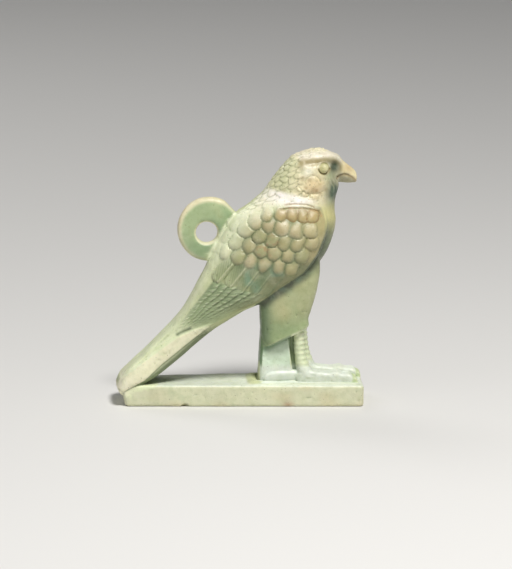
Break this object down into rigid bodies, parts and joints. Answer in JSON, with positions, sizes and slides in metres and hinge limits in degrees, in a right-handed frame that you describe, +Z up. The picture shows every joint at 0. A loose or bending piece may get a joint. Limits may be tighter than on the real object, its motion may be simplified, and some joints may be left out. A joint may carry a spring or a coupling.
{
  "type": "falcon amulet on a plinth",
  "caption": "Egyptian-style amulet of a standing falcon in glazed composition, with a plinth, a support pillar and a suspension loop on its back.",
  "frame": {"origin": "middle of the plinth's underside, under the middle of the whole part", "axes": "+Z up, +X the way the falcon faces, +Y its left side"},
  "size_m": [0.046, 0.0154, 0.048],
  "materials": {
    "glaze": "worn satin glaze, pale apple green with cream and brownish wear"
  },
  "bodies": {
    "root": {"falcon_amulet": "glaze"}
  },
  "joints": []
}
